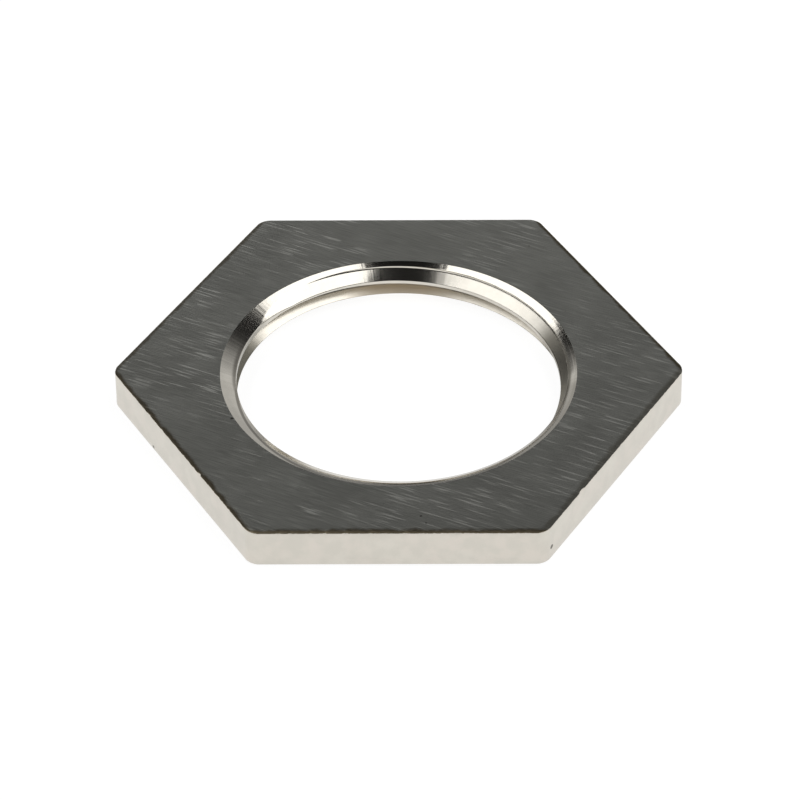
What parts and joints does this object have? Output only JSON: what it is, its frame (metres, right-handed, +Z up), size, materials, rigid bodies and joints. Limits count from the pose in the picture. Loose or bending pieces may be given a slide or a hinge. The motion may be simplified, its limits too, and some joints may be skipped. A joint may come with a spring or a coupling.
{
  "type": "cable gland locknut",
  "caption": "Thin hexagonal locknut with a threaded, countersunk bore that clamps a cable gland to a panel wall.",
  "frame": {"origin": "on the bore's axis, in the seating face on which the nut lies", "axes": "+Z up along the bore's axis, X from corner to corner, Y from flat to flat"},
  "size_m": [0.0412, 0.036, 0.003],
  "materials": {
    "nickel_plate": "satin nickel plate over brass, brushed on the top face"
  },
  "bodies": {
    "root": {"locknut": "nickel_plate"}
  },
  "joints": []
}
